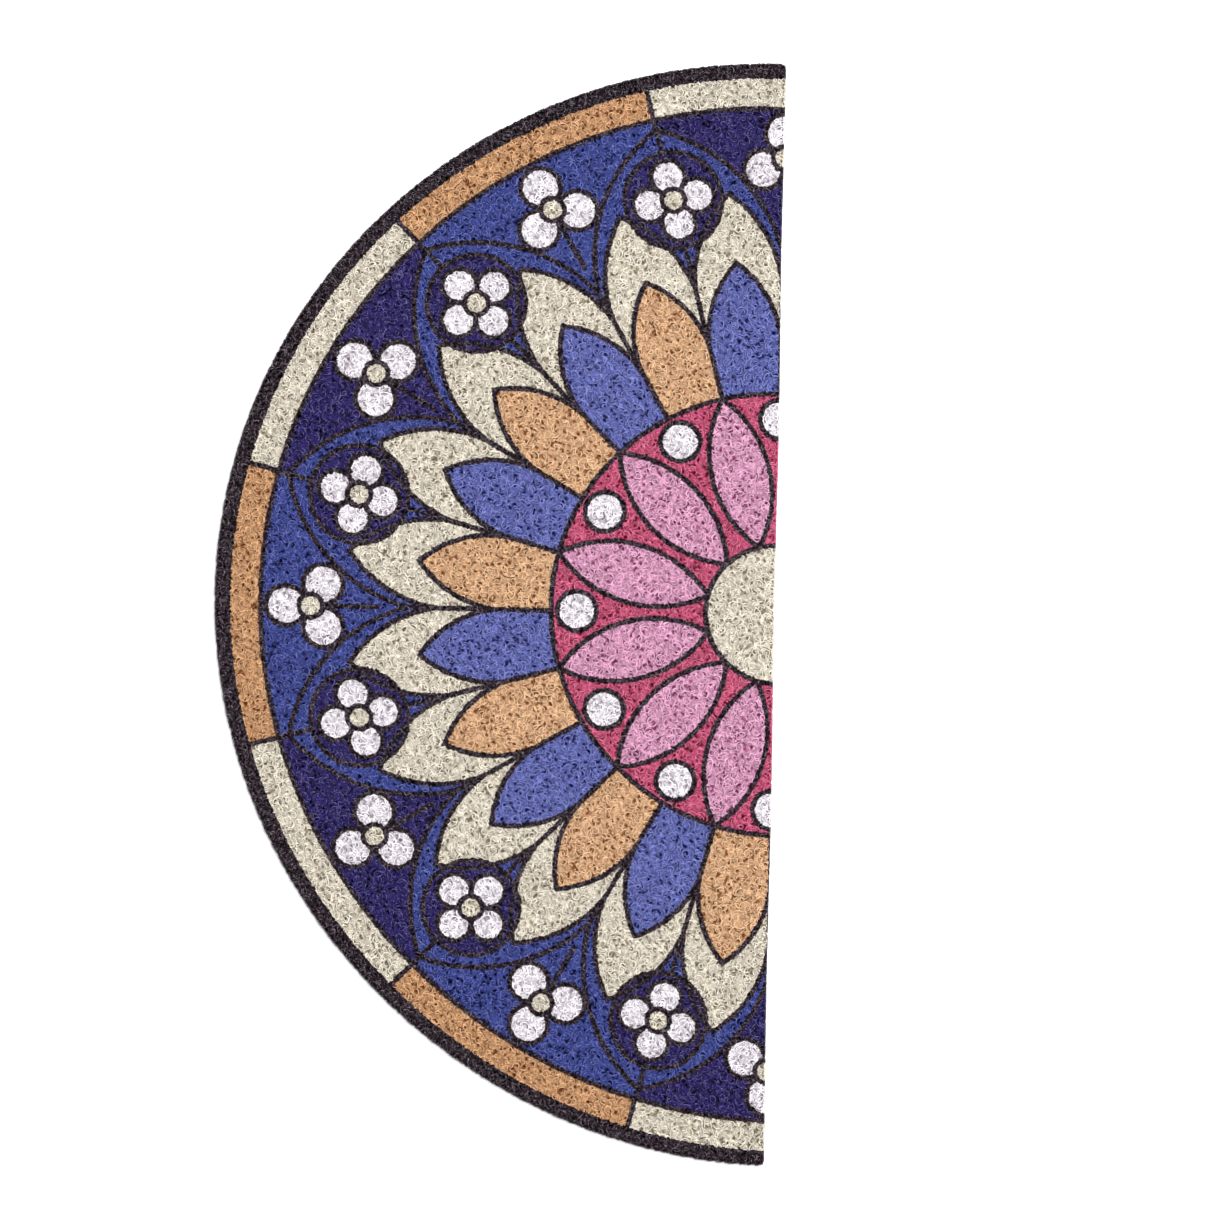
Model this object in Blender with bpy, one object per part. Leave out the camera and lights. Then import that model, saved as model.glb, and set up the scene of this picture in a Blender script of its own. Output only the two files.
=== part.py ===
"""Half-round entrance mat of looped PVC yarn, lying flat on the floor.

The mat is cut from one web: springy coiled filaments fused to the sheet that they were laid on.
It is one piece with no hem, binding or sewn part, so it is one flat solid. Its top is the height
that the loops reach, and its outline is the knife cut, which strays a few millimetres from a true
half circle. Units are metres. +Z is up, the straight edge runs along X and the curve faces +Y.
"""

import math

import bmesh
import bpy

# Driving dimensions
HALF_WIDTH = 0.450
THICKNESS = 0.010

# How the cut curve strays from a half circle about the middle of the straight edge, as shares
# of HALF_WIDTH: fuller in the middle, fuller on the +X side, and a little flat on the crown
CURVE_BULGE = 0.0140
CURVE_LEAN = 0.0115
CURVE_FLAT = -0.0040

# The straight cut is shallowly hollow either side of a point near its middle
STRAIGHT_HOLLOW = 0.0009
STRAIGHT_WAVES = 3

# Rounding left by the knife at the two corners, and by the loops' springing over the top edge
CORNER_RADIUS = 0.004
TOP_ROUND = 0.0016

# Fineness of the outline and of the rounded edges
CURVE_STEPS = 144
STRAIGHT_STEPS = 24
CORNER_SEGMENTS = 4
TOP_SEGMENTS = 3

# An even, round profile for both roundings
ROUND_PROFILE = 0.5

# Distance under which two points are the same one, and turn under which two faces are one
MERGE_DISTANCE = 0.00001
FLAT_ANGLE = math.radians(0.01)

# Turns between two faces past which their edge is a corner, and past which it is shaded crisp
CORNER_ANGLE = math.radians(60)
CRISP_ANGLE = math.radians(40)

# Mean colour of the print, linear, and the finish of the vinyl yarn
YARN_COLOUR = (0.22, 0.16, 0.22, 1.0)
YARN_ROUGHNESS = 0.62


def clear_scene():
    """Removes what the scene starts with."""
    for obj in list(bpy.data.objects):
        bpy.data.objects.remove(obj, do_unlink=True)


def make_collection(name):
    """A new collection in the scene."""
    collection = bpy.data.collections.new(name)
    bpy.context.scene.collection.children.link(collection)
    return collection


def yarn_material():
    """Printed looped PVC yarn, plain here."""
    material = bpy.data.materials.new("printed_loop_yarn")
    material.use_nodes = True
    shader = material.node_tree.nodes["Principled BSDF"]
    shader.inputs["Base Color"].default_value = YARN_COLOUR
    shader.inputs["Roughness"].default_value = YARN_ROUGHNESS
    shader.inputs["Metallic"].default_value = 0.0
    return material


def curve_radius(angle):
    """Distance of the cut curve from the middle of the straight edge, at an angle from +X."""
    drift = (
        CURVE_BULGE * math.sin(angle)
        + CURVE_LEAN * math.sin(2 * angle)
        + CURVE_FLAT * math.sin(3 * angle)
    )
    return HALF_WIDTH * (1 + drift)


def outline():
    """The cut line, anticlockwise from the +X corner, with the straight edge near y = 0."""
    points = []
    for step in range(CURVE_STEPS + 1):
        angle = math.pi * step / CURVE_STEPS
        radius = curve_radius(angle)
        points.append((radius * math.cos(angle), radius * math.sin(angle)))
    for step in range(1, STRAIGHT_STEPS):
        share = step / STRAIGHT_STEPS
        hollow = STRAIGHT_HOLLOW * math.sin(STRAIGHT_WAVES * math.pi * share) ** 2
        points.append((HALF_WIDTH * (2 * share - 1), hollow))
    return points


def centred(points):
    """The points moved so that their bounding box is centred on X and Y."""
    xs = [x for x, y in points]
    ys = [y for x, y in points]
    middle_x = (min(xs) + max(xs)) / 2
    middle_y = (min(ys) + max(ys)) / 2
    return [(x - middle_x, y - middle_y) for x, y in points]


def extruded_outline(name, points):
    """A flat curve through the points, extruded to the mat's thickness and standing on z = 0."""
    curve = bpy.data.curves.new(name, "CURVE")
    curve.dimensions = "2D"
    curve.fill_mode = "BOTH"
    curve.extrude = THICKNESS / 2
    spline = curve.splines.new("POLY")
    spline.points.add(len(points) - 1)
    for point, (x, y) in zip(spline.points, points):
        point.co = (x, y, 0, 1)
    spline.use_cyclic_u = True
    guide = bpy.data.objects.new(name, curve)
    guide.location.z = THICKNESS / 2
    bpy.context.scene.collection.objects.link(guide)
    return guide


def as_mesh(guide, name):
    """The curve's mesh in world space, with its caps joined to its wall. The curve is removed."""
    bpy.context.view_layer.update()
    evaluated = guide.evaluated_get(bpy.context.evaluated_depsgraph_get())
    mesh = bpy.data.meshes.new_from_object(evaluated)
    mesh.name = name
    mesh.transform(guide.matrix_world)
    bpy.data.objects.remove(guide, do_unlink=True)
    shape = bmesh.new()
    shape.from_mesh(mesh)
    bmesh.ops.remove_doubles(shape, verts=shape.verts, dist=MERGE_DISTANCE)
    bmesh.ops.dissolve_limit(
        shape, angle_limit=FLAT_ANGLE, verts=shape.verts, edges=shape.edges
    )
    bmesh.ops.recalc_face_normals(shape, faces=shape.faces)
    shape.to_mesh(mesh)
    shape.free()
    return mesh


def is_upright(edge):
    """Whether an edge runs from the floor to the top."""
    low, high = sorted(vert.co.z for vert in edge.verts)
    return high - low > THICKNESS / 2


def is_corner(edge):
    """Whether an upright edge is one of the two corners, where the walls meet at a right angle."""
    return is_upright(edge) and edge.calc_face_angle() > CORNER_ANGLE


def is_top_rim(edge):
    """Whether an edge is between the top face and the wall."""
    on_top = all(vert.co.z > THICKNESS - MERGE_DISTANCE for vert in edge.verts)
    return on_top and edge.calc_face_angle() > CORNER_ANGLE


def round_edges(mesh, chosen, radius, segments):
    """Rounds the edges that the test picks."""
    shape = bmesh.new()
    shape.from_mesh(mesh)
    edges = [edge for edge in shape.edges if chosen(edge)]
    bmesh.ops.bevel(
        shape,
        geom=edges,
        offset=radius,
        segments=segments,
        profile=ROUND_PROFILE,
        affect="EDGES",
        clamp_overlap=True,
    )
    shape.to_mesh(mesh)
    shape.free()


def make_mat(collection):
    """The mat: one flat solid, crisp where it meets the floor and soft along its top edge."""
    guide = extruded_outline("mat_outline", centred(outline()))
    mesh = as_mesh(guide, "mat")
    round_edges(mesh, is_corner, CORNER_RADIUS, CORNER_SEGMENTS)
    round_edges(mesh, is_top_rim, TOP_ROUND, TOP_SEGMENTS)
    mesh.materials.clear()
    mesh.materials.append(yarn_material())
    mesh.shade_smooth()
    mesh.set_sharp_from_angle(angle=CRISP_ANGLE)
    mat = bpy.data.objects.new("mat", mesh)
    collection.objects.link(mat)
    return mat


clear_scene()
make_mat(make_collection("half_round_doormat"))
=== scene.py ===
"""Looks of the half-round doormat: printed loops of vinyl yarn on the sheet that they are fused to."""

import math

import bpy
import numpy as np
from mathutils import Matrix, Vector


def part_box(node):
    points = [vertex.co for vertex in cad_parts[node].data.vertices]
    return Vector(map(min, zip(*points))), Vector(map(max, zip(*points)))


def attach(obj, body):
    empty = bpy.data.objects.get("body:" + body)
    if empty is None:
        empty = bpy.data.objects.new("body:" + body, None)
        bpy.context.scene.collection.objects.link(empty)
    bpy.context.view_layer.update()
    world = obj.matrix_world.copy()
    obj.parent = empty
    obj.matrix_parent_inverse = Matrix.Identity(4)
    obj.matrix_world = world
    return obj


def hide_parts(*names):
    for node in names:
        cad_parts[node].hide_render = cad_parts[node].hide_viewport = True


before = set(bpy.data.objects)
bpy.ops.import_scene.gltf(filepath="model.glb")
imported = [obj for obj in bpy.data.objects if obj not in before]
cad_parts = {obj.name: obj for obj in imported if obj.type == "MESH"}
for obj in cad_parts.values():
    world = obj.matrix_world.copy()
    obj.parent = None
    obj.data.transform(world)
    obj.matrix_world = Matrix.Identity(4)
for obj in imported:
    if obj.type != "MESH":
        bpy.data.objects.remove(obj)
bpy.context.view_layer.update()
mat_low, mat_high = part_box("mat")
bpy.ops.object.select_all(action="DESELECT")

# The view
# The mat lies on the floor and is seen from straight above, turned so that its straight edge
# is at the right and leans by about a degree, as in the photograph.
PHOTO_SIDE = 1222
PHOTO_EDGE_TOP = Vector((787, 63))
PHOTO_EDGE_BOTTOM = Vector((764.5, 1167))
LENS = 85
SENSOR = 36
FARTHEST_SEEN = 20

edge_run = PHOTO_EDGE_TOP - PHOTO_EDGE_BOTTOM
metres_per_pixel = (mat_high.x - mat_low.x) / edge_run.length
lean = math.atan2(edge_run.x, -edge_run.y)
picture_right = Vector((math.sin(lean), -math.cos(lean), 0))
picture_up = Vector((math.cos(lean), math.sin(lean), 0))
edge_middle = (PHOTO_EDGE_TOP + PHOTO_EDGE_BOTTOM) / 2
across = (edge_middle.x - PHOTO_SIDE / 2) * metres_per_pixel
down = (edge_middle.y - PHOTO_SIDE / 2) * metres_per_pixel
looked_at = Vector((0, mat_low.y, mat_high.z)) - picture_right * across + picture_up * down
height = PHOTO_SIDE * metres_per_pixel * LENS / SENSOR

lens = bpy.data.cameras.new("camera")
lens.lens = LENS
lens.sensor_width = SENSOR
lens.clip_end = FARTHEST_SEEN
camera = bpy.data.objects.new("camera", lens)
camera.location = looked_at + Vector((0, 0, height))
camera.rotation_euler = (0, 0, lean - math.pi / 2)
bpy.context.scene.collection.objects.link(camera)
bpy.context.scene.camera = camera

# The room
# A pale floor under the mat, a wide soft lamp nearly straight above and an even pale sky, so that
# each loop has a lit side and a soft shadow. Colours are shown as they are, with no film curve.
FLOOR_SIZE = 40
FLOOR_DROP = 0.0002
FLOOR_COLOUR = (0.92, 0.92, 0.92, 1)
FLOOR_ROUGHNESS = 0.9
SKY_COLOUR = (1.0, 1.0, 1.0, 1)
SKY_STRENGTH = 0.45
LAMP_PLACE = Vector((0.28, -0.40, 2.5))
LAMP_SIZE = 0.9
LAMP_POWER = 89

bpy.context.scene.view_settings.view_transform = "Standard"
bpy.ops.mesh.primitive_plane_add(size=FLOOR_SIZE, location=(0, 0, mat_low.z - FLOOR_DROP))
floor = bpy.context.object
floor.name = "floor"
floor_paint = bpy.data.materials.new("floor")
floor_paint.use_nodes = True
floor_shader = floor_paint.node_tree.nodes["Principled BSDF"]
floor_shader.inputs["Base Color"].default_value = FLOOR_COLOUR
floor_shader.inputs["Roughness"].default_value = FLOOR_ROUGHNESS
floor.data.materials.append(floor_paint)

sky = bpy.data.worlds.new("sky")
sky.use_nodes = True
sky.node_tree.nodes["Background"].inputs["Color"].default_value = SKY_COLOUR
sky.node_tree.nodes["Background"].inputs["Strength"].default_value = SKY_STRENGTH
bpy.context.scene.world = sky

lamp_light = bpy.data.lights.new("lamp", "AREA")
lamp_light.size = LAMP_SIZE
lamp_light.energy = LAMP_POWER
lamp = bpy.data.objects.new("lamp", lamp_light)
lamp.location = LAMP_PLACE
lamp.rotation_euler = (-LAMP_PLACE).to_track_quat("-Z", "Y").to_euler()
bpy.context.scene.collection.objects.link(lamp)

# The web
# The lower filaments, matted together into a lumpy, pitted bed and fused to the vinyl sheet
# under them. It was cut with the mat, and ends just inside the cut, where the cut loops stand.
# It is dyed with the loops, so their print is worked out here.
SEED = 7
WEB_CELL = 0.0019
WEB_TOP = 0.0080
WEB_ROUGH = 0.00028
WEB_SHIFT = 0.20
PIT_SHARE = 0.17
PIT_LEAST = 0.0026
PIT_MOST = 0.0056
WEB_INSET = 0.0022
WEB_EDGE_TOP = 0.0068
WEB_MERGE = WEB_CELL / 8
WEB_SMOOTH_ANGLE = math.radians(80)

chance = np.random.default_rng(SEED)

# The cut line, anticlockwise, from the solid's points on the floor
CUT_POINTS = 2400
CUT_LOOK = 0.003
FLOOR_SLACK = 0.0001
DIGITS_KEPT = 6
floor_points = {
    (round(v.co.x, DIGITS_KEPT), round(v.co.y, DIGITS_KEPT))
    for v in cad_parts["mat"].data.vertices
    if v.co.z < mat_low.z + FLOOR_SLACK
}
cut_corners = np.array(sorted(floor_points, key=lambda p: math.atan2(p[1], p[0])))
cut_corners = np.vstack([cut_corners, cut_corners[:1]])
corner_at = np.concatenate([[0], np.cumsum(np.hypot(*np.diff(cut_corners, axis=0).T))])
cut_length = corner_at[-1]


def cut_place(distance):
    """The points at those distances round the cut line."""
    there = distance % cut_length
    return np.stack([np.interp(there, corner_at, cut_corners[:, i]) for i in (0, 1)], axis=1)


def on_cut(distance):
    """The points at those distances round the cut line, and the directions out of the mat there."""
    ahead = cut_place(distance + CUT_LOOK) - cut_place(distance - CUT_LOOK)
    out = np.stack([ahead[:, 1], -ahead[:, 0]], axis=1)
    return cut_place(distance), out / np.linalg.norm(out, axis=1)[:, None]


def reach_inside(margin):
    """A function that tells how far a line that margin inside the cut is from the box's middle."""
    place, out = on_cut(np.linspace(0, cut_length, CUT_POINTS, endpoint=False))
    place = place - out * margin
    angles = np.arctan2(place[:, 1], place[:, 0])
    reach = np.hypot(place[:, 0], place[:, 1])
    order = np.argsort(angles)
    return lambda asked: np.interp(asked, angles[order], reach[order], period=2 * math.pi)


def read(items, value, width=1, kind=float):
    """One value of all of a mesh's points, edges, faces or corners, as an array."""
    found = np.zeros(len(items) * width, kind)
    items.foreach_get(value, found)
    return found if width == 1 else found.reshape(-1, width)


# The bed: a grid, shifted about, with single points pressed down as pits, cut off at its line
web_reach = reach_inside(WEB_INSET)
cells_across = round((mat_high.x - mat_low.x) / WEB_CELL)
cells_deep = round((mat_high.y - mat_low.y) / WEB_CELL)
bpy.ops.mesh.primitive_grid_add(x_subdivisions=cells_across, y_subdivisions=cells_deep, size=1)
web = bpy.context.object
web.name = "web"
bed = read(web.data.vertices, "co", 3) * (cells_across * WEB_CELL, cells_deep * WEB_CELL, 0)
bed[:, :2] += chance.normal(0, WEB_SHIFT * WEB_CELL, (len(bed), 2))
bed[:, 2] = mat_low.z + WEB_TOP + chance.normal(0, WEB_ROUGH, len(bed))
pits = chance.random((cells_deep + 1, cells_across + 1)) < PIT_SHARE
pits[:, 1:] &= ~pits[:, :-1]
pits[1:, :] &= ~pits[:-1, :]
bed[:, 2] -= pits.ravel() * chance.uniform(PIT_LEAST, PIT_MOST, len(bed))
web.data.vertices.foreach_set("co", bed.ravel())
centres = read(web.data.polygons, "center", 3)
bed_reach = web_reach(np.arctan2(centres[:, 1], centres[:, 0]))
beyond = np.hypot(centres[:, 0], centres[:, 1]) > bed_reach
face_points = read(web.data.loops, "vertex_index", kind=int).reshape(-1, 4)
cut_off = np.ones(len(bed), bool)
cut_off[face_points[~beyond]] = False
web.data.polygons.foreach_set("select", np.zeros(len(beyond), bool))
web.data.edges.foreach_set("select", np.zeros(len(web.data.edges), bool))
web.data.vertices.foreach_set("select", cut_off)
bpy.ops.object.mode_set(mode="EDIT")
bpy.ops.mesh.delete(type="VERT")
bpy.ops.object.mode_set(mode="OBJECT")

# The bed's ragged rim is walked round and goes out to its line
edges_of_faces = read(web.data.loops, "edge_index", kind=int)
edge_ends = read(web.data.edges, "vertices", 2, int)
at_rim = np.bincount(edges_of_faces, minlength=len(web.data.edges)) == 1
beside = {}
for one, other in edge_ends[at_rim]:
    beside.setdefault(one, []).append(other)
    beside.setdefault(other, []).append(one)
rim = [next(iter(beside))]
rim.append(beside[rim[0]][0])
while rim[-1] != rim[0]:
    rim.append(next(point for point in beside[rim[-1]] if point != rim[-2]))
rim = np.array(rim[:-1])
bed = read(web.data.vertices, "co", 3)
rim_turn = np.unwrap(np.arctan2(bed[rim, 1], bed[rim, 0]))
rim_turn = np.sort(rim_turn)[:: 1 if rim_turn[-1] > rim_turn[0] else -1]
bed[rim, 0] = web_reach(rim_turn) * np.cos(rim_turn)
bed[rim, 1] = web_reach(rim_turn) * np.sin(rim_turn)
bed[rim, 2] = mat_low.z + WEB_EDGE_TOP + chance.normal(0, WEB_ROUGH, len(rim))
web.data.vertices.foreach_set("co", bed.ravel())
web.data.update()

# The wall goes down from the rim to the floor, and the sheet closes it there
bpy.ops.object.mode_set(mode="EDIT")
bpy.ops.mesh.select_mode(type="EDGE")
bpy.ops.mesh.select_all(action="SELECT")
bpy.ops.mesh.remove_doubles(threshold=WEB_MERGE)
bpy.ops.mesh.select_all(action="DESELECT")
bpy.ops.mesh.select_non_manifold()
bpy.ops.mesh.extrude_region_move()
bpy.ops.transform.resize(value=(1, 1, 0), center_override=(0, 0, mat_low.z))
bpy.ops.mesh.edge_face_add()
bpy.ops.mesh.poke(center_mode="BOUNDS")
bpy.ops.mesh.select_all(action="SELECT")
bpy.ops.mesh.normals_make_consistent(inside=False)
bpy.ops.object.mode_set(mode="OBJECT")
bpy.ops.object.shade_smooth_by_angle(angle=WEB_SMOOTH_ANGLE)

# The print is dye: a plain wheel of tracery drawn with compass arcs about the middle of the
# straight edge. From the middle it has a boss, almond petals, pairs of pointed lights, foiled
# roundels under great arches, and a blocked border inside a dark rim. Dark lines part them.
HALF_WIDTH = (mat_high.x - mat_low.x) / 2
BAY = math.radians(30)
LIGHT = BAY / 2

# The cut strays from a half circle: fuller in the middle and on the +X side, and a little flat
# on the shoulders to either side of the middle
CURVE_BULGE = 0.0140
CURVE_LEAN = 0.0115
CURVE_FLAT = -0.0040

# Radii and widths in the print are shares of the half width
BOSS = 0.125
PETAL_RING = 0.400
PETAL_HALF = 0.052
BEAD_AT = 0.354
BEAD = 0.035
LIGHT_SPRING = 0.500
LIGHT_APEX = 0.640
HOOD_SPRING = 0.602
HOOD_APEX = 0.766
GREAT_SPRING = 0.655
GREAT_APEX = 0.899
PIER_FROM = 0.705
ROUNDEL_AT = 0.769
ROUNDEL = 0.087
LOBE_AT = 0.0435
LOBE = 0.0305
SPANDREL_AT = 0.828
THREE_LOBE_AT = 0.0445
THREE_LOBE = 0.0355
EYE = 0.021
BORDER_RING = 0.917
RIM_RING = 0.971
LEAD_HALF = 0.0046
LEAD_SOFT = 0.0008
RAGGED = 0.0030

# How fine the dye's edges and its wear are, and which part of the lines is worn
RAGGED_GRAIN = 320
WORN_GRAIN = 450
DYE_DETAIL = 1
WORN_FROM = 0.54
WORN_TO = 0.66

# How a screen shows light
SCREEN_STEPS = 255
SCREEN_OFFSET = 0.055
SCREEN_CURVE = 2.4


def ink(*shown):
    """A colour given as a screen shows it, from 0 to 255, as the linear one that shaders take."""
    parts = [(part / SCREEN_STEPS + SCREEN_OFFSET) / (1 + SCREEN_OFFSET) for part in shown]
    return [part**SCREEN_CURVE for part in parts] + [1]


CREAM = ink(214, 206, 191)
OCHRE = ink(208, 168, 130)
TAN = ink(196, 151, 110)
ROYAL = ink(99, 106, 171)
DEEP_ROYAL = ink(64, 74, 144)
INDIGO = ink(47, 37, 100)
PINK = ink(209, 154, 184)
CRIMSON = ink(192, 85, 120)
WHITE = ink(232, 226, 232)
LEAD = ink(34, 20, 30)
LEAD_WORN = ink(92, 78, 89)

rosette = bpy.data.node_groups.new("rosette_print", "ShaderNodeTree")
rosette.interface.new_socket("Place", in_out="INPUT", socket_type="NodeSocketVector")
rosette.interface.new_socket("Colour", in_out="OUTPUT", socket_type="NodeSocketColor")


def new_node(tree, kind, **settings):
    """A node in a material or a group, with its settings."""
    node = tree.nodes.new(kind)
    for name, value in settings.items():
        setattr(node, name, value)
    return node


def feed(tree, socket, value):
    """Sets a socket from a number or a tuple, or links it to another node's output."""
    if isinstance(value, bpy.types.NodeSocket):
        tree.links.new(value, socket)
    else:
        socket.default_value = value


def noise(tree, place, grain, detail):
    """The outputs of a fine cloudy noise at a place."""
    node = new_node(tree, "ShaderNodeTexNoise")
    feed(tree, node.inputs["Scale"], grain)
    feed(tree, node.inputs["Detail"], detail)
    feed(tree, node.inputs["Vector"], place)
    return node.outputs


def ranged(tree, value, run, new_run, blend="LINEAR"):
    """A value whose run between two numbers becomes one between two others, and stays in it."""
    node = new_node(tree, "ShaderNodeMapRange", interpolation_type=blend)
    feed(tree, node.inputs["Value"], value)
    feed(tree, node.inputs["From Min"], run[0])
    feed(tree, node.inputs["From Max"], run[1])
    feed(tree, node.inputs["To Min"], new_run[0])
    feed(tree, node.inputs["To Max"], new_run[1])
    return node.outputs["Result"]


def mixed(tree, under, colour, share, blend="MIX"):
    """A share of a colour mixed with what is under it."""
    node = new_node(tree, "ShaderNodeMix", data_type="RGBA", blend_type=blend)
    feed(tree, node.inputs["Factor"], share)
    feed(tree, node.inputs["A"], under)
    feed(tree, node.inputs["B"], colour)
    return node.outputs["Result"]


def maths(operation, *values):
    """The result of a Math node of the print on numbers or outputs."""
    node = new_node(rosette, "ShaderNodeMath", operation=operation)
    for socket, value in zip(node.inputs, values):
        feed(rosette, socket, value)
    return node.outputs[0]


def point(across_it, along_it):
    """A point of the flat print."""
    node = new_node(rosette, "ShaderNodeCombineXYZ")
    feed(rosette, node.inputs[0], across_it)
    feed(rosette, node.inputs[1], along_it)
    return node.outputs[0]


def from_circle(place, centre, radius):
    """How far outside a circle a point is, below nought inside it."""
    node = new_node(rosette, "ShaderNodeVectorMath", operation="DISTANCE")
    feed(rosette, node.inputs[0], place)
    feed(rosette, node.inputs[1], (*centre, 0))
    return maths("SUBTRACT", node.outputs["Value"], radius)


def compass(half, rise):
    """How far past the middle, and with what radius, a compass draws a pointed arch's side."""
    past = (rise**2 - half**2) / (2 * half)
    return past, half + past


def nearest(*distances):
    """The least of several distances."""
    least = distances[0]
    for distance in distances[1:]:
        least = maths("MINIMUM", least, distance)
    return least


def only_where(distance, *tests):
    """A line's distance where all the tests are 1, and far away elsewhere."""
    for test in tests:
        distance = maths("ADD", distance, maths("SUBTRACT", 1, test))
    return distance


def over(under, colour, where):
    """The colour laid over what is under it, where the test is 1."""
    return mixed(rosette, under, colour, where)


place_in = new_node(rosette, "NodeGroupInput").outputs["Place"]
place_out = new_node(rosette, "NodeGroupOutput")

# The dye's edges are ragged, because each filament takes it at its own height
grain = noise(rosette, place_in, RAGGED_GRAIN, DYE_DETAIL)
grain_parts = new_node(rosette, "ShaderNodeSeparateColor")
feed(rosette, grain_parts.inputs[0], grain["Color"])
place_parts = new_node(rosette, "ShaderNodeSeparateXYZ")
feed(rosette, place_parts.inputs[0], place_in)


def print_axis(place, start, grain_part):
    """A coordinate from the middle of the straight edge, in half widths, with its raggedness."""
    share = maths("DIVIDE", maths("SUBTRACT", place, start), HALF_WIDTH)
    astray = maths("MULTIPLY", maths("SUBTRACT", grain_part, 0.5), 2 * RAGGED)
    return maths("ADD", share, astray)


along_edge = print_axis(place_parts.outputs["X"], 0, grain_parts.outputs[0])
from_edge = print_axis(place_parts.outputs["Y"], mat_low.y, grain_parts.outputs[1])
turn = maths("ARCTAN2", from_edge, along_edge)
far = maths("SQRT", maths("ADD", maths("POWER", along_edge, 2), maths("POWER", from_edge, 2)))

# The print follows the cut, which strays from a half circle
stray = maths("ADD", 1, maths("MULTIPLY", maths("SINE", turn), CURVE_BULGE))
for waves, size in ((2, CURVE_LEAN), (3, CURVE_FLAT)):
    wave = maths("SINE", maths("MULTIPLY", turn, waves))
    stray = maths("ADD", stray, maths("MULTIPLY", wave, size))
radius = maths("DIVIDE", far, stray)


def bay(width, shift):
    """A wedge of the wheel: the distances from and along its middle line, and its number."""
    count = maths("ADD", maths("DIVIDE", turn, width), shift)
    number = maths("FLOOR", count)
    angle = maths("MULTIPLY", maths("SUBTRACT", maths("SUBTRACT", count, number), 0.5), width)
    side = maths("ABSOLUTE", maths("MULTIPLY", radius, maths("SINE", angle)))
    run = maths("MULTIPLY", radius, maths("COSINE", angle))
    return side, run, number


bay_side, bay_run = bay(BAY, 0)[:2]
pier_side, pier_run, pier_number = bay(BAY, 0.5)
light_side, light_run, light_number = bay(LIGHT, 0)
mullion_side, mullion_run = bay(LIGHT, 0.5)[:2]


def pointed_arch(side, run, spring, apex, wedge):
    """How far outside a pointed arch a point is. It springs from the wedge's sides."""
    half = spring * math.sin(wedge / 2)
    foot = spring * math.cos(wedge / 2)
    past, reach = compass(half, apex - foot)
    return from_circle(point(side, maths("MAXIMUM", run, foot)), (-past, foot), reach)


def odd(number):
    """1 for an odd number, 0 for an even one."""
    return maths("PINGPONG", number, 1)


# Fields, each as the distance from its edge
light_edge = pointed_arch(light_side, light_run, LIGHT_SPRING, LIGHT_APEX, LIGHT)
hood_edge = pointed_arch(light_side, light_run, HOOD_SPRING, HOOD_APEX, LIGHT)
great_edge = pointed_arch(bay_side, bay_run, GREAT_SPRING, GREAT_APEX, BAY)
petal_middle = (BOSS + PETAL_RING) / 2
petal_past, petal_reach = compass(PETAL_HALF, PETAL_RING - petal_middle)
petal_edge = from_circle(point(bay_side, bay_run), (-petal_past, petal_middle), petal_reach)
bead_edge = from_circle(point(pier_side, pier_run), (0, BEAD_AT), BEAD)
roundel_edge = from_circle(point(bay_side, bay_run), (0, ROUNDEL_AT), ROUNDEL)

# Foils: four lobes in each roundel, three between the great arches, each about a small disc
roundel_up = maths("ABSOLUTE", maths("SUBTRACT", bay_run, ROUNDEL_AT))
roundel_point = point(bay_side, roundel_up)
four_lobes = nearest(
    from_circle(roundel_point, (LOBE_AT, 0), LOBE),
    from_circle(roundel_point, (0, LOBE_AT), LOBE),
)
four_eye = from_circle(roundel_point, (0, 0), EYE)
spandrel_point = point(pier_side, maths("SUBTRACT", pier_run, SPANDREL_AT))
third_turn = math.radians(120)
lower_lobe = (THREE_LOBE_AT * math.sin(third_turn), THREE_LOBE_AT * math.cos(third_turn))
three_lobes = nearest(
    from_circle(spandrel_point, (0, THREE_LOBE_AT), THREE_LOBE),
    from_circle(spandrel_point, lower_lobe, THREE_LOBE),
)
three_eye = from_circle(spandrel_point, (0, 0), EYE)

# Where each ring begins, as 1 past it and 0 before
past_boss = maths("GREATER_THAN", radius, BOSS)
past_petals = maths("GREATER_THAN", radius, PETAL_RING)
past_wheel = maths("GREATER_THAN", radius, BORDER_RING)
past_border = maths("GREATER_THAN", radius, RIM_RING)
before_petals = maths("SUBTRACT", 1, past_petals)
before_border = maths("SUBTRACT", 1, past_wheel)


def inside(distance):
    """1 inside a field and 0 outside."""
    return maths("LESS_THAN", distance, 0)


def outside(distance):
    """1 outside a field and 0 inside."""
    return maths("GREATER_THAN", distance, 0)


# The petals about the boss
colour = over(CRIMSON, PINK, inside(petal_edge))
colour = over(colour, WHITE, inside(bead_edge))
colour = over(CREAM, colour, past_boss)

# The lights under their cream hoods
light_colour = over(ROYAL, OCHRE, odd(light_number))
wheel = over(DEEP_ROYAL, CREAM, inside(hood_edge))
wheel = over(wheel, light_colour, inside(light_edge))

# The roundels and the spandrels
wheel = over(wheel, INDIGO, inside(roundel_edge))
wheel = over(wheel, WHITE, inside(four_lobes))
wheel = over(wheel, CREAM, inside(four_eye))
spandrel = over(INDIGO, DEEP_ROYAL, odd(pier_number))
spandrel = over(spandrel, WHITE, inside(three_lobes))
spandrel = over(spandrel, CREAM, inside(three_eye))
wheel = over(wheel, spandrel, outside(great_edge))
colour = over(colour, wheel, past_petals)

# The blocked border and the rim, which is worn in patches as the lines are
border = over(CREAM, TAN, odd(pier_number))
colour = over(colour, border, past_wheel)
worn = noise(rosette, place_in, WORN_GRAIN, DYE_DETAIL)["Fac"]
lead = over(LEAD, LEAD_WORN, ranged(rosette, worn, (WORN_FROM, WORN_TO), (0, 1)))
colour = over(colour, lead, past_border)


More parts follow.
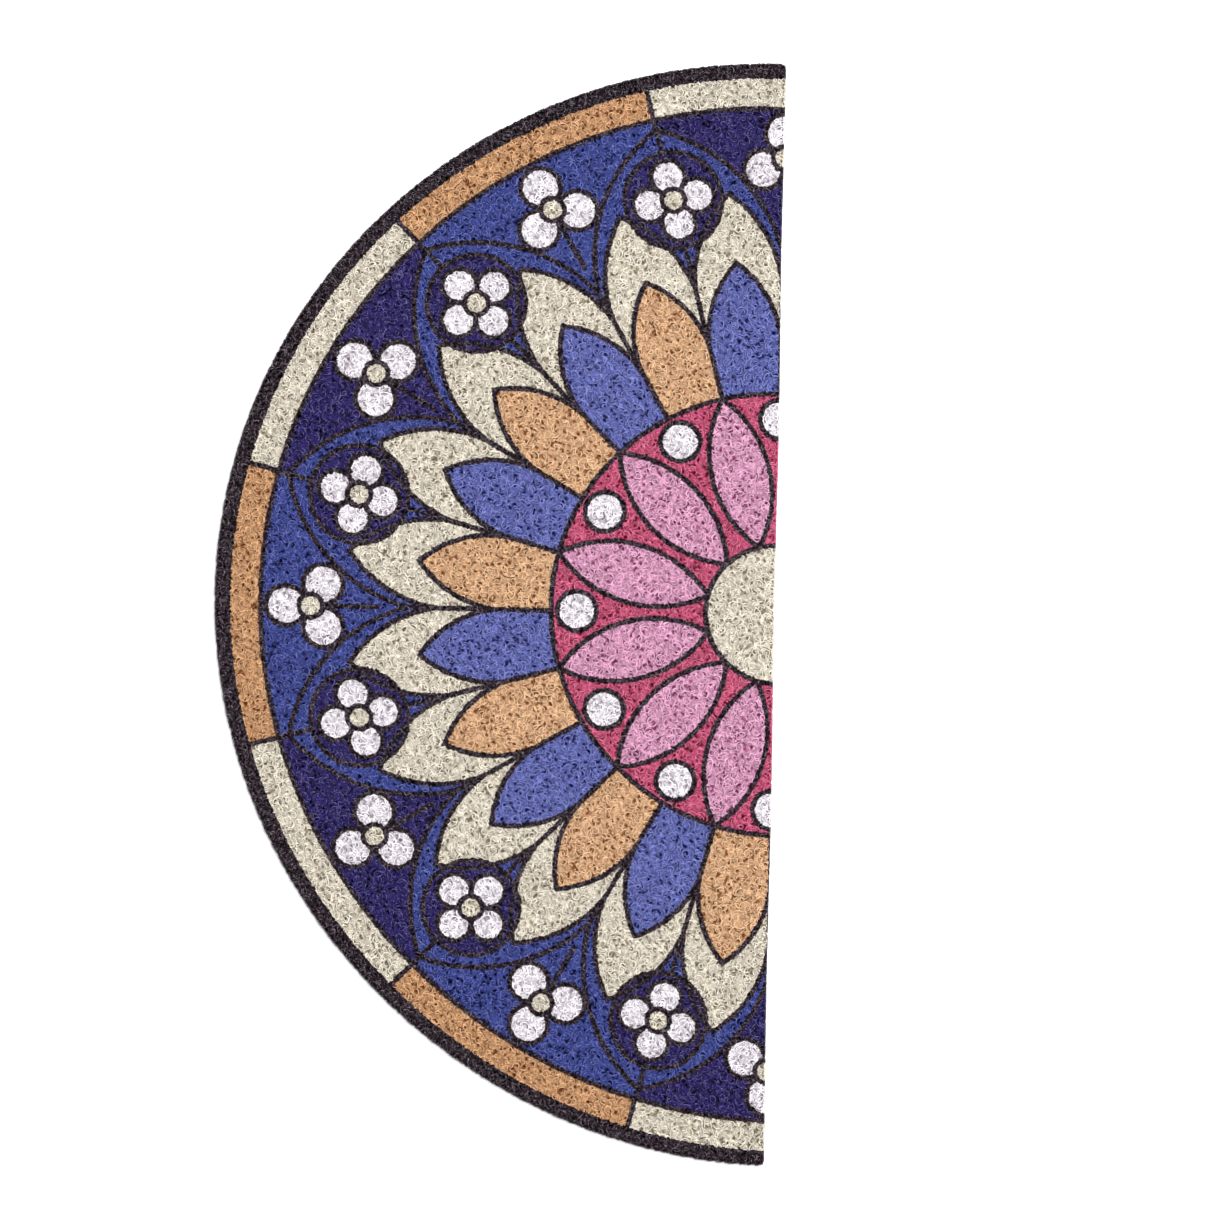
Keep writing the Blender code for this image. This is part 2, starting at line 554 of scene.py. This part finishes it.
def line(distance):
    """How far from a field's edge a point is, on either side."""
    return maths("ABSOLUTE", distance)


# The lines of the rings, the petals, the wheel and the border
ring_radii = (BOSS, PETAL_RING, BORDER_RING)
ring_lines = nearest(*(line(maths("SUBTRACT", radius, ring)) for ring in ring_radii))
petal_lines = nearest(line(petal_edge), line(bead_edge))
petal_lines = only_where(petal_lines, past_boss, before_petals)
light_lines = nearest(
    line(light_edge),
    line(hood_edge),
    only_where(mullion_side, maths("LESS_THAN", mullion_run, ROUNDEL_AT - ROUNDEL)),
)
roundel_lines = nearest(
    line(roundel_edge),
    line(four_eye),
    only_where(line(four_lobes), outside(four_eye)),
)
bay_lines = only_where(nearest(light_lines, roundel_lines), inside(great_edge))
pier_begun = maths("GREATER_THAN", pier_run, PIER_FROM)
pier_shows = maths("MULTIPLY", pier_begun, maths("LESS_THAN", pier_run, SPANDREL_AT))
spandrel_lines = nearest(
    line(three_eye),
    only_where(line(three_lobes), outside(three_eye)),
    only_where(pier_side, pier_shows, outside(three_lobes), outside(three_eye)),
)
spandrel_lines = only_where(spandrel_lines, outside(great_edge))
crown_line = only_where(bay_side, maths("GREATER_THAN", bay_run, ROUNDEL_AT + ROUNDEL))
wheel_lines = nearest(bay_lines, spandrel_lines, line(great_edge), crown_line)
wheel_lines = only_where(wheel_lines, past_petals, before_border)
border_lines = only_where(bay_side, past_wheel)
leads = nearest(ring_lines, petal_lines, wheel_lines, border_lines)
lead_run = (LEAD_HALF - LEAD_SOFT, LEAD_HALF + LEAD_SOFT)
colour = over(colour, lead, ranged(rosette, leads, lead_run, (1, 0), "SMOOTHSTEP"))
feed(rosette, place_out.inputs["Colour"], colour)

# The finish is soft vinyl with a slight gloss. The dye took a little unevenly from loop to
# loop. Lower in the pile the colour is painted darker and richer, as painted shade.
# The heights over which the painted shade fades out, and how dark and how saturated it is at its
# deepest
SHADE_FROM = 0.0058
SHADE_TO = 0.0088
DEEPEST_SHADE = (0.84, 0.84, 0.84, 1)
SHADE_RICHNESS = 2.4
PATCH_GRAIN = 260
PATCH_DETAIL = 2
PATCH_FROM = 0.3
PATCH_TO = 0.7
PATCH_DARK = 0.74
PATCH_LIGHT = 1.16
YARN_ROUGHNESS = 0.34
YARN_GLOSS = 0.40
WEB_GLOSS = 0.15
COIL_GRAIN = 230
COIL_TURNS = 11
COIL_PAINTED_SHADE = 0.66
COIL_BUMP = 0.7
COIL_RISE = 0.0008


def yarn_finish(name, matted):
    """Dyed vinyl yarn with painted shade lower down. Matted, the surface stands for many filaments
    below the top ones, with painted shade between their coils.
    """
    material = bpy.data.materials.new(name)
    material.use_nodes = True
    tree = material.node_tree
    shader = tree.nodes["Principled BSDF"]
    feed(tree, shader.inputs["Specular IOR Level"], WEB_GLOSS if matted else YARN_GLOSS)
    feed(tree, shader.inputs["Roughness"], YARN_ROUGHNESS)
    place = new_node(tree, "ShaderNodeTexCoord").outputs["Object"]
    dye = new_node(tree, "ShaderNodeGroup", node_tree=rosette)
    feed(tree, dye.inputs["Place"], place)

    patches = noise(tree, place, PATCH_GRAIN, PATCH_DETAIL)["Fac"]
    patches = ranged(tree, patches, (PATCH_FROM, PATCH_TO), (PATCH_DARK, PATCH_LIGHT))
    patched = mixed(tree, dye.outputs["Colour"], patches, 1, "MULTIPLY")

    # Painted shade: the lower a point lies, the darker and more saturated its colour, standing in for
    # the shade among the filaments above it
    heights = new_node(tree, "ShaderNodeSeparateXYZ")
    feed(tree, heights.inputs[0], place)
    shade_run = (mat_low.z + SHADE_FROM, mat_low.z + SHADE_TO)
    out_of_shade = ranged(tree, heights.outputs["Z"], shade_run, (0, 1), "SMOOTHSTEP")
    richer_in_shade = new_node(tree, "ShaderNodeGamma")
    feed(tree, richer_in_shade.inputs["Gamma"], SHADE_RICHNESS)
    feed(tree, richer_in_shade.inputs["Color"], patched)
    deepest_painted_shade = mixed(tree, richer_in_shade.outputs["Color"], DEEPEST_SHADE, 1, "MULTIPLY")
    shown = mixed(tree, deepest_painted_shade, patched, out_of_shade)

    if matted:
        # Painted shade: rings of darker colour between the coils that the bump draws, for the shade
        # between the web's lower filaments
        cells = new_node(tree, "ShaderNodeTexVoronoi")
        feed(tree, cells.inputs["Scale"], COIL_GRAIN)
        feed(tree, cells.inputs["Vector"], place)
        turns = new_node(tree, "ShaderNodeMath", operation="MULTIPLY")
        feed(tree, turns.inputs[0], cells.outputs["Distance"])
        feed(tree, turns.inputs[1], COIL_TURNS)
        coils = new_node(tree, "ShaderNodeMath", operation="SINE")
        feed(tree, coils.inputs[0], turns.outputs[0])
        coil_light = ranged(tree, coils.outputs[0], (-1, 1), (COIL_PAINTED_SHADE, 1))
        shown = mixed(tree, shown, coil_light, 1, "MULTIPLY")
        bump = new_node(tree, "ShaderNodeBump")
        feed(tree, bump.inputs["Strength"], COIL_BUMP)
        feed(tree, bump.inputs["Distance"], COIL_RISE)
        feed(tree, bump.inputs["Height"], coils.outputs[0])
        feed(tree, shader.inputs["Normal"], bump.outputs["Normal"])

    feed(tree, shader.inputs["Base Color"], shown)
    return material


# The sheet under the web is plain smoky vinyl with a fine dimpled grain
SMOKY_VINYL = ink(74, 62, 58)
SHEET_ROUGHNESS = 0.6
DIMPLE_GRAIN = 420
DIMPLE_BUMP = 0.5
DIMPLE_DEPTH = 0.0004

sheet_finish = bpy.data.materials.new("vinyl_sheet")
sheet_finish.use_nodes = True
sheet_tree = sheet_finish.node_tree
sheet_shader = sheet_tree.nodes["Principled BSDF"]
feed(sheet_tree, sheet_shader.inputs["Base Color"], SMOKY_VINYL)
feed(sheet_tree, sheet_shader.inputs["Roughness"], SHEET_ROUGHNESS)
sheet_place = new_node(sheet_tree, "ShaderNodeTexCoord").outputs["Object"]
dimples = new_node(sheet_tree, "ShaderNodeTexVoronoi")
feed(sheet_tree, dimples.inputs["Scale"], DIMPLE_GRAIN)
feed(sheet_tree, dimples.inputs["Vector"], sheet_place)
sheet_bump = new_node(sheet_tree, "ShaderNodeBump")
feed(sheet_tree, sheet_bump.inputs["Strength"], DIMPLE_BUMP)
feed(sheet_tree, sheet_bump.inputs["Distance"], DIMPLE_DEPTH)
feed(sheet_tree, sheet_bump.inputs["Height"], dimples.outputs["Distance"])
feed(sheet_tree, sheet_shader.inputs["Normal"], sheet_bump.outputs["Normal"])
web.data.materials.append(yarn_finish("matted_web", matted=True))
web.data.materials.append(sheet_finish)

# The flat map: the bed from above, then the underside, then the wall as a thin strip
MAP_BED = 0.66
MAP_UNDER_SCALE = 0.4
MAP_UNDER_END = 0.98
MAP_WALL = 0.01
MAP_WALL_START = 0.985
MAP_MARGIN = 0.005
FACES_DOWN = -0.5
STANDS_UP = 0.2

facing = read(web.data.polygons, "normal", 3)[:, 2]
under = facing < FACES_DOWN
web.data.polygons.foreach_set("material_index", under.astype(np.int32))
web.data.polygons.foreach_set("use_smooth", ~under)
corner_counts = read(web.data.polygons, "loop_total", kind=int)
corner_points = read(web.data.loops, "vertex_index", kind=int)
bed = read(web.data.vertices, "co", 3)[corner_points]
bed_map = (bed[:, :2] - mat_low[:2]) / (mat_high[:2] - np.array(mat_low[:2]))
bed_map[:, 1] *= MAP_BED
on_under = np.repeat(under, corner_counts)
bed_map[on_under, 1] = MAP_UNDER_END - bed_map[on_under, 1] * MAP_UNDER_SCALE
on_wall = np.repeat(np.abs(facing) < STANDS_UP, corner_counts)
bed_map[on_wall, 1] = MAP_WALL_START + MAP_WALL * bed[on_wall, 2] / WEB_TOP
layer = web.data.uv_layers.new(name="OFBake")
layer.data.foreach_set("uv", (bed_map * (1 - 2 * MAP_MARGIN) + MAP_MARGIN).ravel())
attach(web, "root")
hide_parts("mat")

# The loops
# Each row is one vinyl filament that was laid in overlapping turns as the web moved along, and
# fused where it lies on the next one. Its turns tip and sink into the bed, and only the parts
# that stand out are made.
ROW_PITCH = 0.0028
TURN_PITCH = 0.0026
TURN_RADIUS = 0.0025
STEPS_A_TURN = 7.5
YARN_HALF = 0.00074
YARN_THICK = 0.00046
TIP_DEPTH = 0.0032
TOP_GAP = 0.0002
SUNK = 0.0005
OPEN_RIM = 0.0040
EDGE_MARGIN = 0.0010
BANDS = 6

# How far the turns wander: in their phase and tip as angles, the rest in metres
PHASE_STRAY = 0.9
TIP_STRAY = 2.6
TURN_STRAY = 0.0007
ALONG_STRAY = 0.0011
ACROSS_STRAY = 0.0015
ROW_STRAY = 0.0009
SURFACE_STRAY = 0.0004
WANDER_STEPS = 7
ROW_WANDER_STEPS = 40
FEWEST_KNOTS = 4

# How finely a row's ends are looked for, and the fewest steps that make a row or a part of one
ROW_SAMPLES = 400
FEWEST_SAMPLES = 4
FEWEST_STEPS = 9
FEWEST_PART_STEPS = 3

# A strand's width in its flat map, the map's margin, and the least length of a direction
MAP_SPREAD = 0.7
STRAND_MAP_MARGIN = 0.01
SHORTEST = 1e-9


def wander(count, knot_gap, size):
    """A smooth random line of that many values."""
    knots = max(FEWEST_KNOTS, int(count / knot_gap) + 2)
    at = np.linspace(0, knots - 1, count)
    heights = chance.normal(0, size, knots)
    low = np.minimum(at.astype(int), knots - 2)
    blend = (1 - np.cos((at - low) * math.pi)) / 2
    return heights[low] * (1 - blend) + heights[low + 1] * blend


def unit(directions):
    """The directions, each at a length of 1."""
    lengths = np.linalg.norm(directions, axis=1)
    return directions / np.maximum(lengths, SHORTEST)[:, None]


def filament(path, outwards):
    """A three-sided strand along the path, with its ridge outwards: points, faces and a flat map."""
    along = unit(np.gradient(path, axis=0))
    side = unit(np.cross(along, outwards))
    ridge = np.cross(side, along)
    crest = path + ridge * YARN_THICK
    left = path + side * YARN_HALF - ridge * YARN_THICK
    right = path - side * YARN_HALF - ridge * YARN_THICK
    points = np.stack([left, crest, right], axis=1)
    spread = side * YARN_HALF * MAP_SPREAD
    flat = np.stack([path + spread, path, path - spread], axis=1)
    first = np.arange(len(path) - 1)[:, None] * 3
    walls = [
        np.hstack([first + a, first + b, first + b + 3, first + a + 3])
        for a, b in ((0, 1), (1, 2), (2, 0))
    ]
    last = 3 * (len(path) - 1)
    ends = [[0, 2, 1], [last, last + 1, last + 2]]
    return points.reshape(-1, 3), np.vstack(walls), ends, flat.reshape(-1, 3)[:, :2]


def joined(name, strands, material):
    """One piece of many strands, with a flat map of where each lies."""
    points = []
    quads = []
    ends = []
    flats = []
    start = 0
    for corners, walls, caps, flat in strands:
        points.append(corners)
        quads.append(walls + start)
        ends += [[start + i for i in cap] for cap in caps]
        flats.append(flat)
        start += len(corners)
    mesh = bpy.data.meshes.new(name)
    mesh.from_pydata(np.vstack(points), [], np.vstack(quads).tolist() + ends)
    flats = np.vstack(flats)
    low = flats.min(0)
    flats = (flats - low) / (flats.max(0) - low)
    flats = flats * (1 - 2 * STRAND_MAP_MARGIN) + STRAND_MAP_MARGIN
    layer = mesh.uv_layers.new(name="OFBake")
    layer.data.foreach_set("uv", flats[read(mesh.loops, "vertex_index", kind=int)].ravel())
    mesh.shade_smooth()
    mesh.materials.append(material)
    piece = bpy.data.objects.new(name, mesh)
    bpy.context.scene.collection.objects.link(piece)
    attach(piece, "root")
    return piece


loop_reach = reach_inside(EDGE_MARGIN)


def laid_row(y_middle):
    """The path of one row's filament, across the whole mat at that distance from the middle."""
    samples = np.linspace(mat_low.x, mat_high.x, ROW_SAMPLES)
    within = np.hypot(samples, y_middle) < loop_reach(np.arctan2(y_middle, samples))
    if within.sum() < FEWEST_SAMPLES:
        return np.zeros((0, 3))
    start = samples[within][0]
    stop = samples[within][-1]
    count = int((stop - start) / TURN_PITCH * STEPS_A_TURN)
    phase = chance.uniform(0, 2 * math.pi) + np.arange(count) * 2 * math.pi / STEPS_A_TURN
    phase += wander(count, WANDER_STEPS, PHASE_STRAY)
    sway = TURN_RADIUS + wander(count, WANDER_STEPS, TURN_STRAY)
    hand = chance.choice([-1, 1])
    x = np.linspace(start, stop, count) + sway * np.cos(phase)
    x += wander(count, WANDER_STEPS, ALONG_STRAY)
    y = y_middle + hand * sway * np.sin(phase)
    y += wander(count, WANDER_STEPS, ACROSS_STRAY)
    y += wander(count, ROW_WANDER_STEPS, ROW_STRAY)
    scale = np.minimum(1, loop_reach(np.arctan2(y, x)) / np.hypot(x, y))
    tip = (1 - np.cos(phase + wander(count, WANDER_STEPS, TIP_STRAY))) / 2
    z = mat_high.z - YARN_THICK - TOP_GAP - TIP_DEPTH * tip
    z -= np.abs(wander(count, WANDER_STEPS, SURFACE_STRAY))
    return np.stack([x * scale, y * scale, z], axis=1)


def showing(path):
    """The parts of a filament that stand out of the bed or lie near the cut."""
    reach = web_reach(np.arctan2(path[:, 1], path[:, 0])) - OPEN_RIM
    near_cut = np.hypot(path[:, 0], path[:, 1]) >= reach
    shows = near_cut | (path[:, 2] > mat_low.z + WEB_TOP - SUNK)
    changes = np.flatnonzero(np.diff(shows.astype(int))) + 1
    parts = np.split(np.arange(len(path)), changes)
    return [path[part] for part in parts if shows[part[0]] and len(part) >= FEWEST_PART_STEPS]


row_span = mat_high.y - mat_low.y - 2 * EDGE_MARGIN
row_count = int(row_span / ROW_PITCH)
parts_shown = []
for row in range(row_count):
    path = laid_row(mat_low.y + EDGE_MARGIN + (row + 0.5) * row_span / row_count)
    if len(path) >= FEWEST_STEPS:
        parts_shown += showing(path)

# The rows are shared out among bands of like length
steps_in_all = sum(len(path) for path in parts_shown)
up = np.array([0, 0, 1.0])
bands = [[] for band in range(BANDS)]
laid = 0
for path in parts_shown:
    bands[min(BANDS - 1, laid * BANDS // steps_in_all)].append(filament(path, up))
    laid += len(path)
loop_finish = yarn_finish("dyed_loops", matted=False)
pile = [joined(f"loops_{n + 1}", strands, loop_finish) for n, strands in enumerate(bands)]

# The cut edge
# Where the knife went through, short turns of filament stand out of the web all round, in three
# tiers over the vinyl sheet. They are what shows of the mat's thickness.
TIER_HEIGHTS = (0.0030, 0.0054, 0.0078)
TIER_RADIUS = 0.0015
TIER_PITCH = 0.0032
TIER_STEPS = 7.3
TIER_DEPTH = 0.0008
TIER_SWING = 0.0004
TIER_LOWEST = 0.0011
TIER_TOP_GAP = 0.0010

# How far the turns of a tier wander, each over so many steps
TIER_PHASE_STRAY = 0.6
TIER_PHASE_STEPS = 8
TIER_TURN_STRAY = 0.0003
TIER_TURN_STEPS = 7
TIER_SWING_STRAY = 1.5
TIER_SWING_STEPS = 20
TIER_HEIGHT_STRAY = 0.0003
TIER_HEIGHT_STEPS = 9


def edge_tier(height):
    """The path of one tier of turns round the cut edge, and the directions out of the mat."""
    count = int(cut_length / TIER_PITCH * TIER_STEPS)
    phase = np.arange(count) * 2 * math.pi / TIER_STEPS
    phase = phase + wander(count, TIER_PHASE_STEPS, TIER_PHASE_STRAY)
    sway = TIER_RADIUS + wander(count, TIER_TURN_STEPS, TIER_TURN_STRAY)
    place, out = on_cut(np.linspace(0, cut_length, count) + sway * np.cos(phase))
    swing = np.sin(phase / 2 + wander(count, TIER_SWING_STEPS, TIER_SWING_STRAY))
    depth = TIER_DEPTH + TIER_SWING * (1 + swing)
    flat = place - out * depth[:, None]
    z = mat_low.z + height + sway * np.sin(phase)
    z += wander(count, TIER_HEIGHT_STEPS, TIER_HEIGHT_STRAY)
    z = np.clip(z, mat_low.z + TIER_LOWEST, mat_high.z - TIER_TOP_GAP)
    return np.column_stack([flat, z]), np.column_stack([out, np.zeros(count)])


# The tiers share the loops' finish, so the lower ones are darker by its painted shade
tiers = [filament(*edge_tier(height)) for height in TIER_HEIGHTS]
cut_edge = joined("cut_edge", tiers, loop_finish)
